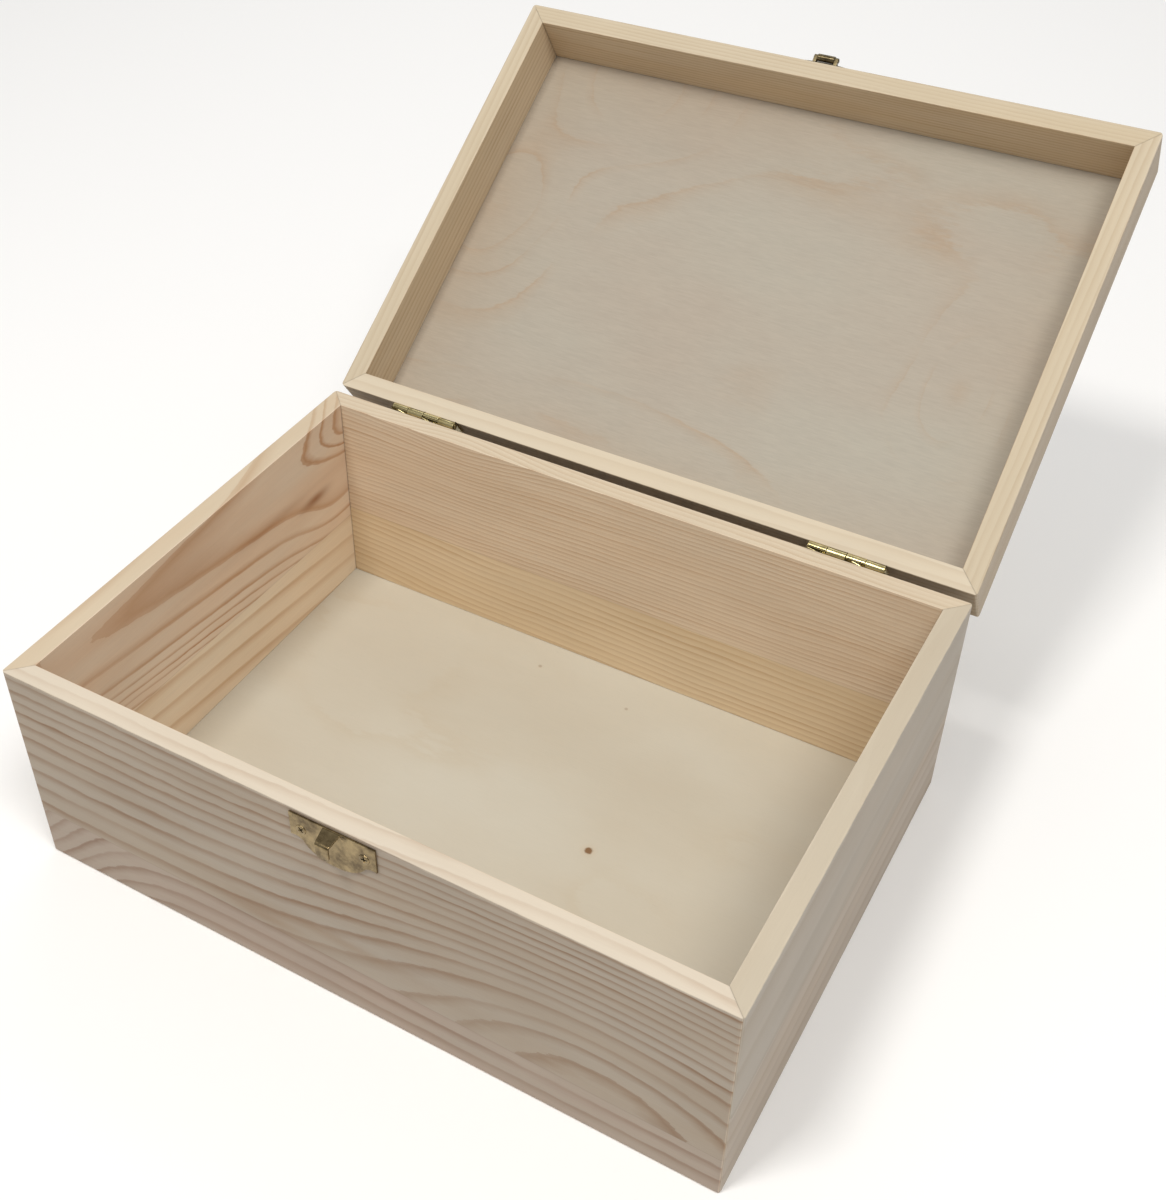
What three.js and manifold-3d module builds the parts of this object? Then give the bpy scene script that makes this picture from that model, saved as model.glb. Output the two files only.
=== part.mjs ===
// Hinged pine box with a plywood floor and lid panel, two brass butt hinges and a hook-and-loop catch.
// Millimetres. +Z is up, +Y is the hinge side, -Y is the front. The origin is the middle of the underside.
// The lid stands open; its pieces are drawn as if it were shut, in a group that turns about the hinge pins.

import * as THREE from 'three';
import { mergeVertices } from 'three/addons/utils/BufferGeometryUtils.js';
import Module from 'manifold-3d';

const wasm = await Module();
wasm.setup();

// ---------- driving dimensions ----------
const BOX_W = 300;
const BOX_D = 215;
const BODY_H = 101;
const LID_H = 30.2;
const WALL = 9;
const PANEL_T = 4;
const REBATE_D = 4.5; // how far a panel's edge is let into the wall
const CORNER_R = 2; // upright corners
const LID_EDGE_R = 4; // rounded edge round the top of the lid
const FIT = 0.15; // gap between pieces that bear on each other
const RIM_GAP = 0.5; // between the two rims when the lid is shut
const LID_OPEN = THREE.MathUtils.degToRad(146.7);

const HINGE_X = [-103, 97.5];
const HINGE_L = 32.6;
const KNUCKLES = 4;
const KNUCKLE_GAP = 0.3;
const BARREL_R = 2.1;
const LEAF_H = 10; // from the pin's axis to the leaf's long edge
const PLATE_T = 0.8; // sheet brass
const PLATE_GAP = 0.1; // under every brass plate
const HINGE_PIN_R = 0.9;
const PIN_CLEARANCE = 0.15;
const LEAF_SCREW_X = 10;
const LEAF_SCREW_Z = 6.3;

const CATCH_X = 0.5;
const CATCH_HALF_W = 17.8;
const CATCH_END_H = 11.4;
const CATCH_LOBE_H = 18.6;
const CATCH_TOP = 1.3; // top edge, below the rim
const CATCH_SCREW_X = 13;
const CATCH_SCREW_Z = 8;
const NOSE_ROOT_W = 7.5;
const NOSE_TIP_W = 5.8;
const NOSE_OUT = 6.9; // from the board's face
const NOSE_FALL = 1.5; // slope of the top
const NOSE_DROP = 10.3; // lowest point, below the rim

const LOOP_PIVOT_OUT = 3;
const LOOP_PIVOT_UP = 0.9; // above the lid's rim
const LOOP_KNUCKLE_R = 1.7;
const LOOP_KNUCKLE_W = 8;
const LOOP_W = 11;
const LOOP_TIP_W = 8.3;
const LOOP_BAR = 1.5;
const LOOP_LENGTH = 14.2; // from the pivot to the tip
const LOOP_LIP = 2;
const LOOP_BACK = THREE.MathUtils.degToRad(170); // folded back from hanging straight down
const LUG_R = 1.25;
const LUG_W = 1.5;
const LOOP_PIN_R = 0.7;

const SCREW_HEAD_R = 2.1;
const SCREW_HEAD_H = 1.2;
const SCREW_SHANK_R = 1.05;
const SCREW_L = 8;
const SCREW_CLEARANCE = 0.2;
const CROSS_W = 0.5;
const CROSS_L = 2.4;
const CROSS_DEPTH = 0.6;

const ROUND = 24; // facets round a small cylinder

// ---------- positions worked out from them ----------
const HALF_W = BOX_W / 2;
const HALF_D = BOX_D / 2;
const AXIS_Y = HALF_D + BARREL_R + 0.05;
const AXIS_Z = BODY_H - 0.15;
const LID_RIM = BODY_H + RIM_GAP;
const LID_TOP = LID_RIM + LID_H;
const PIVOT_Y = -HALF_D - LOOP_PIVOT_OUT;
const PIVOT_Z = LID_RIM + LOOP_PIVOT_UP;

// ---------- materials ----------
const standard = (color, roughness, metalness) => new THREE.MeshStandardMaterial({ color, roughness, metalness });
const pine = standard(0xd8c3a0, 0.7, 0);
const poplarPly = standard(0xe6d9bb, 0.7, 0);
const birchPly = standard(0xc9b398, 0.65, 0);
const brass = standard(0xc9b46a, 0.3, 1);
const dullBrass = standard(0x9a8a5c, 0.35, 1);

// ---------- solids ----------
function toSolid(geometry) {
  geometry.deleteAttribute('normal');
  geometry.deleteAttribute('uv');
  const merged = mergeVertices(geometry, 1e-5);
  return new wasm.Manifold(new wasm.Mesh({
    numProp: 3,
    vertProperties: new Float32Array(merged.attributes.position.array),
    triVerts: new Uint32Array(merged.index.array),
  }));
}

function toMesh(name, solid, material) {
  const data = solid.getMesh();
  const geometry = new THREE.BufferGeometry();
  geometry.setAttribute('position', new THREE.BufferAttribute(data.vertProperties, 3));
  geometry.setIndex(new THREE.BufferAttribute(data.triVerts, 1));
  geometry.computeVertexNormals();
  const mesh = new THREE.Mesh(geometry, material);
  mesh.name = name;
  return mesh;
}

function block(x0, x1, y0, y1, z0, z1) {
  const geometry = new THREE.BoxGeometry(x1 - x0, y1 - y0, z1 - z0);
  geometry.translate((x0 + x1) / 2, (y0 + y1) / 2, (z0 + z1) / 2);
  return toSolid(geometry);
}

// A bar along X, between x0 and x1.
function rod(radius, x0, x1, y, z) {
  const geometry = new THREE.CylinderGeometry(radius, radius, x1 - x0, ROUND);
  geometry.rotateZ(Math.PI / 2);
  geometry.translate((x0 + x1) / 2, y, z);
  return toSolid(geometry);
}

// An outline drawn as seen from above, raised from z0 to z1.
function standingPrism(shape, z0, z1) {
  const geometry = new THREE.ExtrudeGeometry(shape, { depth: z1 - z0, bevelEnabled: false, curveSegments: 6 });
  geometry.translate(0, 0, z0);
  return toSolid(geometry);
}

// An outline drawn as seen from the front, x across and z up, running back from y0 to y1.
function frontPrism(shape, y0, y1, curveSegments = 12) {
  const geometry = new THREE.ExtrudeGeometry(shape, { depth: y1 - y0, bevelEnabled: false, curveSegments });
  geometry.rotateX(Math.PI / 2);
  geometry.translate(0, y1, 0);
  return toSolid(geometry);
}

// An outline drawn as seen from the end, its x being y and its y being z, running from x0 to x1.
function endPrism(shape, x0, x1) {
  const geometry = new THREE.ExtrudeGeometry(shape, { depth: x1 - x0, bevelEnabled: false, curveSegments: 8 });
  geometry.rotateX(Math.PI / 2);
  geometry.rotateZ(Math.PI / 2);
  geometry.translate(x0, 0, 0);
  return toSolid(geometry);
}

function polygon(points) {
  return new THREE.Shape(points.map(([x, y]) => new THREE.Vector2(x, y)));
}

// ---------- wooden boards ----------
// A mitred board lying along X with its outer face at y = -depth / 2, seen from above.
function mitredPlan(length, depth) {
  const tip = CORNER_R * (1 - Math.SQRT1_2) + FIT / Math.SQRT2;
  const half = length / 2;
  const outer = -depth / 2;
  const inner = outer + WALL;
  const insideHalf = half - WALL - FIT / Math.SQRT2;
  const plan = new THREE.Shape();
  plan.moveTo(-insideHalf, inner);
  plan.lineTo(-half + tip, outer + tip - FIT / Math.SQRT2);
  plan.absarc(-half + CORNER_R, outer + CORNER_R, CORNER_R, Math.PI * 1.27, Math.PI * 1.5, false);
  plan.absarc(half - CORNER_R, outer + CORNER_R, CORNER_R, Math.PI * 1.5, Math.PI * 1.73, false);
  plan.lineTo(half - tip, outer + tip - FIT / Math.SQRT2);
  plan.lineTo(insideHalf, inner);
  plan.closePath();
  return plan;
}

// The rebate that a panel's edge sits in, along the inside of a board at y = -depth / 2.
function rebate(length, depth, z0, z1) {
  const inner = -depth / 2 + WALL;
  return block(-length / 2, length / 2, inner - REBATE_D, inner + 1, z0, z1);
}

function bodyBoard(length, depth) {
  return standingPrism(mitredPlan(length, depth), 0, BODY_H)
    .subtract(rebate(length, depth, -1, PANEL_T + FIT));
}

// What a rounding cutter takes off the top outer edge of a lid rail.
function edgeRounding(length, depth) {
  const outer = -depth / 2;
  const corner = new THREE.Shape();
  corner.moveTo(outer - 1, LID_TOP + 1);
  corner.lineTo(outer - 1, LID_TOP - LID_EDGE_R);
  corner.lineTo(outer, LID_TOP - LID_EDGE_R);
  corner.absarc(outer + LID_EDGE_R, LID_TOP - LID_EDGE_R, LID_EDGE_R, Math.PI, Math.PI / 2, true);
  corner.lineTo(outer + LID_EDGE_R, LID_TOP + 1);
  corner.closePath();
  return endPrism(corner, -length / 2 - 1, length / 2 + 1);
}

function lidRail(length, depth) {
  return standingPrism(mitredPlan(length, depth), LID_RIM, LID_TOP)
    .subtract(rebate(length, depth, LID_TOP - PANEL_T - FIT, LID_TOP + 1))
    .subtract(edgeRounding(length, depth));
}

const turned = (solid, degrees) => solid.rotate([0, 0, degrees]);

function panel(z0) {
  const halfX = HALF_W - WALL + REBATE_D - FIT;
  const halfY = HALF_D - WALL + REBATE_D - FIT;
  return block(-halfX, halfX, -halfY, halfY, z0, z0 + PANEL_T);
}

// ---------- screws ----------
// A countersunk screw's outline, grown by a clearance; its head is flush at z = 0 and it points to -z.
function screwSolid(clearance, grow = 0) {
  const outline = [
    [0, grow],
    [SCREW_HEAD_R + clearance, grow],
    [SCREW_HEAD_R + clearance, -0.2],
    [SCREW_SHANK_R + clearance, -SCREW_HEAD_H],
    [SCREW_SHANK_R + clearance, -SCREW_L + 1.5],
    [0, -SCREW_L - clearance],
  ];
  const geometry = new THREE.LatheGeometry(outline.map(([r, z]) => new THREE.Vector2(r, z)).reverse(), ROUND);
  geometry.rotateX(Math.PI / 2);
  return toSolid(geometry);
}

function crossRecess() {
  const slot = block(-CROSS_L / 2, CROSS_L / 2, -CROSS_W / 2, CROSS_W / 2, -CROSS_DEPTH, 1);
  return slot.add(slot.rotate([0, 0, 90]));
}

// Where each screw goes: the middle of its head, and whether it faces the front or the back.
const HEAD_OUT = PLATE_GAP + PLATE_T;
const placeFront = (solid, x, z) => solid.rotate([90, 0, 0]).translate([x, -HALF_D - HEAD_OUT, z]);
const placeBack = (solid, x, z) => solid.rotate([-90, 0, 0]).translate([x, HALF_D + HEAD_OUT, z]);
const hinges = ['left', 'right'].map((side, i) => ({ side, x: HINGE_X[i] }));
const sides = [['left', -1], ['right', 1]];

const hingeScrews = (up) => hinges.flatMap(({ side, x }) => sides.map(([end, sign]) => ({
  name: `hinge_${side}_${up > 0 ? 'lid' : 'body'}_screw_${end}`,
  x: x + sign * LEAF_SCREW_X,
  z: AXIS_Z + up * LEAF_SCREW_Z,
  place: placeBack,
})));
const frontScrews = (name, z) => sides.map(([end, sign]) => ({
  name: `${name}_screw_${end}`,
  x: CATCH_X + sign * CATCH_SCREW_X,
  z,
  place: placeFront,
}));

const screws = {
  bodyBack: hingeScrews(-1),
  lidBack: hingeScrews(1),
  bodyFront: frontScrews('catch', BODY_H - CATCH_SCREW_Z),
  lidFront: frontScrews('hasp', LID_RIM + CATCH_SCREW_Z),
};

function drilled(solid, places) {
  const cutter = screwSolid(SCREW_CLEARANCE, 2);
  return places.reduce((left, { x, z, place }) => left.subtract(place(cutter, x, z)), solid);
}

function screwMeshes(places, material) {
  const screw = screwSolid(0).subtract(crossRecess());
  return places.map(({ name, x, z, place }) => toMesh(name, place(screw, x, z), material));
}

// ---------- hinges ----------
const KNUCKLE_L = HINGE_L / KNUCKLES;

// One leaf and its knuckles. `up` is 1 for the lid's leaf and -1 for the body's; the body's has the first knuckle.
function hingeLeaf(x, up, places) {
  const left = x - HINGE_L / 2;
  const plateY = HALF_D + PLATE_GAP;
  const zone = (from, to) => block(
    left, left + HINGE_L, plateY, plateY + PLATE_T,
    AXIS_Z + Math.min(up * from, up * to), AXIS_Z + Math.max(up * from, up * to),
  );
  let leaf = zone(BARREL_R + 0.35, LEAF_H);
  for (let i = up > 0 ? 1 : 0; i < KNUCKLES; i += 2) {
    const x0 = left + i * KNUCKLE_L + KNUCKLE_GAP / 2;
    const x1 = x0 + KNUCKLE_L - KNUCKLE_GAP;
    const web = block(
      x0, x1, plateY, plateY + PLATE_T,
      AXIS_Z + Math.min(0, up * LEAF_H / 2), AXIS_Z + Math.max(0, up * LEAF_H / 2),
    );
    leaf = leaf.add(web).add(rod(BARREL_R, x0, x1, AXIS_Y, AXIS_Z));
  }
  const bore = rod(HINGE_PIN_R + PIN_CLEARANCE, left - 1, left + HINGE_L + 1, AXIS_Y, AXIS_Z);
  return drilled(leaf.subtract(bore), places);
}

// ---------- catch on the body ----------
// The plate seen from the front, its straight edge at z = 0 and its lobe towards +z when `up` is 1.
function catchOutline(up) {
  const shape = new THREE.Shape();
  const lobeX = CATCH_HALF_W - 5;
  const shoulder = CATCH_END_H + 1;
  shape.moveTo(-CATCH_HALF_W, 0);
  shape.lineTo(-CATCH_HALF_W, up * CATCH_END_H);
  shape.quadraticCurveTo(-CATCH_HALF_W + 3, up * (CATCH_END_H - 1), -lobeX, up * shoulder);
  shape.quadraticCurveTo(-lobeX * 0.7, up * CATCH_LOBE_H, 0, up * CATCH_LOBE_H);
  shape.quadraticCurveTo(lobeX * 0.7, up * CATCH_LOBE_H, lobeX, up * shoulder);
  shape.quadraticCurveTo(CATCH_HALF_W - 3, up * (CATCH_END_H - 1), CATCH_HALF_W, up * CATCH_END_H);
  shape.lineTo(CATCH_HALF_W, 0);
  shape.closePath();
  return shape;
}

function catchPlate() {
  const back = -HALF_D - PLATE_GAP;
  const front = back - PLATE_T;
  const top = BODY_H - CATCH_TOP;
  const nose = -HALF_D - NOSE_OUT;
  const bottom = BODY_H - NOSE_DROP;
  const plate = frontPrism(catchOutline(-1), front, back).translate([CATCH_X, 0, top]);
  const strip = endPrism(polygon([
    [back, top],
    [nose + PLATE_T, top - NOSE_FALL],
    [nose, top - NOSE_FALL - PLATE_T],
    [nose, bottom],
    [nose + PLATE_T, bottom],
    [nose + PLATE_T, top - NOSE_FALL - PLATE_T * 1.2],
    [front, top - PLATE_T * 1.2],
    [back, top - PLATE_T * 1.2],
  ]), -NOSE_ROOT_W, NOSE_ROOT_W);
  const plan = polygon([
    [-NOSE_ROOT_W / 2, back],
    [-NOSE_TIP_W / 2, nose - 1],
    [NOSE_TIP_W / 2, nose - 1],
    [NOSE_ROOT_W / 2, back],
  ]);
  const face = new THREE.Shape();
  face.moveTo(-NOSE_ROOT_W, top + 1);
  face.lineTo(-NOSE_ROOT_W, bottom + 2.9);
  face.lineTo(-NOSE_TIP_W / 2, bottom + 2.9);
  face.absarc(0, bottom + 2.9, 2.9, Math.PI, Math.PI * 2, false);
  face.lineTo(NOSE_ROOT_W, bottom + 2.9);
  face.lineTo(NOSE_ROOT_W, top + 1);
  face.closePath();
  const hook = strip
    .intersect(standingPrism(plan, bottom - 1, top + 1))
    .intersect(frontPrism(face, nose - 1, back + 1))
    .translate([CATCH_X, 0, 0]);
  return drilled(plate.add(hook), screws.bodyFront);
}

// ---------- hasp on the lid ----------
function haspPlate() {
  const back = -HALF_D - PLATE_GAP;
  const front = back - PLATE_T;
  const low = LID_RIM + 0.2;
  let plate = frontPrism(catchOutline(1), front, back).translate([CATCH_X, 0, low]);
  for (const [, sign] of sides) {
    const inner = LOOP_KNUCKLE_W / 2 + 0.2;
    const x0 = CATCH_X + (sign > 0 ? inner : -inner - LUG_W);
    const web = block(x0, x0 + LUG_W, PIVOT_Y, back, low, PIVOT_Z + LUG_R * 0.7);
    plate = plate.add(web).add(rod(LUG_R, x0, x0 + LUG_W, PIVOT_Y, PIVOT_Z));
  }
  const bore = rod(LOOP_PIN_R + PIN_CLEARANCE, CATCH_X - LOOP_W, CATCH_X + LOOP_W, PIVOT_Y, PIVOT_Z);
  return drilled(plate.subtract(bore), screws.lidFront);
}

// The swinging loop, drawn hanging straight down from its pin.
function haspLoop() {
  const outer = PIVOT_Y - LOOP_KNUCKLE_R;
  const inner = outer + PLATE_T;
  const tip = PIVOT_Z - LOOP_LENGTH;
  const shoulder = PIVOT_Z - 1.2;
  const half = LOOP_W / 2;
  const tongue = polygon([
    [-LOOP_KNUCKLE_W / 2, PIVOT_Z],
    [-LOOP_KNUCKLE_W / 2, shoulder],
    [-half, shoulder - 0.6],
    [-half, tip + 3],
    [-LOOP_TIP_W / 2, tip],
    [LOOP_TIP_W / 2, tip],
    [half, tip + 3],
    [half, shoulder - 0.6],
    [LOOP_KNUCKLE_W / 2, shoulder],
    [LOOP_KNUCKLE_W / 2, PIVOT_Z],
  ]);
  const windowHalf = half - LOOP_BAR;
  const windowTop = shoulder - 0.55;
  const windowEnd = tip + 1.8;
  const barrel = rod(LOOP_KNUCKLE_R, -LOOP_KNUCKLE_W / 2, LOOP_KNUCKLE_W / 2, PIVOT_Y, PIVOT_Z);
  const lip = block(-LOOP_TIP_W / 2 + 0.5, LOOP_TIP_W / 2 - 0.5, outer - LOOP_LIP, inner, tip, tip + PLATE_T);
  return frontPrism(tongue, outer, inner)
    .add(barrel)
    .add(lip)
    .subtract(block(-windowHalf, windowHalf, outer - 1, inner + 1, windowEnd, windowTop))
    .subtract(rod(LOOP_PIN_R + PIN_CLEARANCE, -LOOP_W, LOOP_W, PIVOT_Y, PIVOT_Z))
    .translate([CATCH_X, 0, 0]);
}

function haspPin() {
  const half = LOOP_KNUCKLE_W / 2 + 0.2 + LUG_W;
  return rod(LOOP_PIN_R, CATCH_X - half, CATCH_X + half, PIVOT_Y, PIVOT_Z);
}

// ---------- assembly ----------
// A group whose pieces keep their shut-lid coordinates while it turns about a line along X through (y, z).
function turningGroup(y, z, angle) {
  const outer = new THREE.Group();
  const inner = new THREE.Group();
  outer.position.set(0, y, z);
  outer.rotation.x = angle;
  inner.position.set(0, -y, -z);
  outer.add(inner);
  return { outer, inner };
}

const box = new THREE.Group();
box.add(
  toMesh('front_board', drilled(bodyBoard(BOX_W, BOX_D), screws.bodyFront), pine),
  toMesh('back_board', drilled(turned(bodyBoard(BOX_W, BOX_D), 180), screws.bodyBack), pine),
  toMesh('left_board', turned(bodyBoard(BOX_D, BOX_W), -90), pine),
  toMesh('right_board', turned(bodyBoard(BOX_D, BOX_W), 90), pine),
  toMesh('bottom_panel', panel(0), poplarPly),
  toMesh('catch_plate', catchPlate(), dullBrass),
  ...screwMeshes(screws.bodyFront, dullBrass),
  ...screwMeshes(screws.bodyBack, brass),
);

const lid = turningGroup(AXIS_Y, AXIS_Z, -LID_OPEN);
lid.inner.add(
  toMesh('lid_front_rail', drilled(lidRail(BOX_W, BOX_D), screws.lidFront), pine),
  toMesh('lid_back_rail', drilled(turned(lidRail(BOX_W, BOX_D), 180), screws.lidBack), pine),
  toMesh('lid_left_rail', turned(lidRail(BOX_D, BOX_W), -90), pine),
  toMesh('lid_right_rail', turned(lidRail(BOX_D, BOX_W), 90), pine),
  toMesh('lid_panel', panel(LID_TOP - PANEL_T), birchPly),
  toMesh('hasp_plate', haspPlate(), dullBrass),
  toMesh('hasp_pin', haspPin(), dullBrass),
  ...screwMeshes(screws.lidFront, dullBrass),
  ...screwMeshes(screws.lidBack, brass),
);
box.add(lid.outer);

const hasp = turningGroup(PIVOT_Y, PIVOT_Z, -LOOP_BACK);
hasp.inner.add(toMesh('hasp_loop', haspLoop(), dullBrass));
lid.inner.add(hasp.outer);

for (const { side, x } of hinges) {
  const near = (places) => places.filter(({ name }) => name.startsWith(`hinge_${side}`));
  const pin = rod(HINGE_PIN_R, x - HINGE_L / 2, x + HINGE_L / 2, AXIS_Y, AXIS_Z);
  box.add(toMesh(`hinge_${side}_body_leaf`, hingeLeaf(x, -1, near(screws.bodyBack)), brass));
  box.add(toMesh(`hinge_${side}_pin`, pin, brass));
  lid.inner.add(toMesh(`hinge_${side}_lid_leaf`, hingeLeaf(x, 1, near(screws.lidBack)), brass));
}

export default box;
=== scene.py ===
"""Hinged pine box standing open: mitred boards, plywood panels, butt hinges and a hook-and-loop catch.

Every mesh is drawn in millimetres with the lid shut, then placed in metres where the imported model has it.
"""

import logging
import math
from collections.abc import Iterable, Sequence
from dataclasses import dataclass
from enum import Enum

import bmesh
import bpy
from mathutils import Matrix, Vector

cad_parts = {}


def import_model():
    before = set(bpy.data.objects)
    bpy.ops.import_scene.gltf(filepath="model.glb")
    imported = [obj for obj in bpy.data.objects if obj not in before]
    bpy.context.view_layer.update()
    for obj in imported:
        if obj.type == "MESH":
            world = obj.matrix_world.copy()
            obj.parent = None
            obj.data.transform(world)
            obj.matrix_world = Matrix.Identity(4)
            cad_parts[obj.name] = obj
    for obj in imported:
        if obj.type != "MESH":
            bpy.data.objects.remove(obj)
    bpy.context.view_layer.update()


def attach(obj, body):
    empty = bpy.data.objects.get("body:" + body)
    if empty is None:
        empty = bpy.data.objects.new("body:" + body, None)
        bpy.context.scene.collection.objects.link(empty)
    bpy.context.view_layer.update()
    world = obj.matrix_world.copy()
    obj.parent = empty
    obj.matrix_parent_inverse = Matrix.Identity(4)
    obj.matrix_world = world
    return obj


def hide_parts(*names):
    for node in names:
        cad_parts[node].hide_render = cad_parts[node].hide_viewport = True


LOG = logging.getLogger("toy_box")
METRES = Matrix.Scale(0.001, 4)
GRAIN = "grain"
WHOLE_RINGS = 40.0
SHARP = 35.0

Triple = tuple[float, float, float]
Colour = Triple
Point = tuple[float, float]
Socket = bpy.types.NodeSocket
Value = Socket | float
Drawing = bmesh.types.BMesh


def srgb(red: int, green: int, blue: int) -> Colour:
    """Turns a colour as a paint chart gives it into the linear values that shaders take.

    Args:
        red: Red, 0 to 255.
        green: Green, 0 to 255.
        blue: Blue, 0 to 255.

    Returns:
        The linear colour.
    """
    def linear(part: int) -> float:
        """Returns one channel in linear light."""
        share = part / 255
        return share / 12.92 if share <= 0.04045 else ((share + 0.055) / 1.055) ** 2.4

    return linear(red), linear(green), linear(blue)


# ---------------- sizes


@dataclass(frozen=True)
class BoxSizes:
    """The box's own dimensions, in millimetres."""

    width: float = 300.0
    depth: float = 215.0
    body_high: float = 101.0
    lid_high: float = 30.2
    wall: float = 9.0
    panel: float = 4.0
    rebate: float = 4.5
    fit: float = 0.15
    rim_gap: float = 0.5
    corner_round: float = 2.0
    lid_edge_round: float = 4.0
    foot_round: float = 1.4
    lid_open: float = 146.7
    loop_folded: float = 170.0
    sheet: float = 0.8
    sheet_gap: float = 0.1

    @property
    def lid_rim(self) -> float:
        """Height of the lid's rim with the lid shut."""
        return self.body_high + self.rim_gap

    @property
    def lid_top(self) -> float:
        """Height of the closed lid's outside."""
        return self.lid_rim + self.lid_high

    @property
    def axis_y(self) -> float:
        """How far back the hinge pins lie."""
        return self.depth / 2 + 2.15

    @property
    def axis_z(self) -> float:
        """How high the hinge pins lie."""
        return self.body_high - 0.15

    @property
    def pivot_y(self) -> float:
        """How far forward the hasp's pin lies."""
        return -self.depth / 2 - 3.0

    @property
    def pivot_z(self) -> float:
        """How high the hasp's pin lies with the lid shut."""
        return self.lid_rim + 0.9


SIZES = BoxSizes()


def turned(y: float, z: float, degrees: float) -> Matrix:
    """Gives the turn about a line along X.

    Args:
        y: Where the line lies, front to back.
        z: Where the line lies, up.
        degrees: The turn, positive from +Y towards +Z.

    Returns:
        The matrix of the turn.
    """
    middle = Vector((0, y, z))
    return Matrix.Translation(middle) @ Matrix.Rotation(math.radians(degrees), 4, "X") @ Matrix.Translation(-middle)


class Seat(Enum):
    """Where a piece rides, and how its shut-lid drawing reaches its place at rest."""

    BOX = "box"
    LID = "lid"
    HASP = "hasp"

    @property
    def place(self) -> Matrix:
        """The matrix from millimetres with the lid shut to metres at rest."""
        lid = turned(SIZES.axis_y, SIZES.axis_z, -SIZES.lid_open)
        if self is Seat.BOX:
            return METRES
        if self is Seat.LID:
            return METRES @ lid
        return METRES @ lid @ turned(SIZES.pivot_y, SIZES.pivot_z, -SIZES.loop_folded)


class Side(Enum):
    """A side of the box, by its turn from the front in degrees."""

    FRONT = 0.0
    RIGHT = 90.0
    BACK = 180.0
    LEFT = -90.0

    @property
    def span(self) -> Point:
        """The side's length, and how far off the opposite side is."""
        return (SIZES.width, SIZES.depth) if self in (Side.FRONT, Side.BACK) else (SIZES.depth, SIZES.width)


# ---------------- node bench


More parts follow.
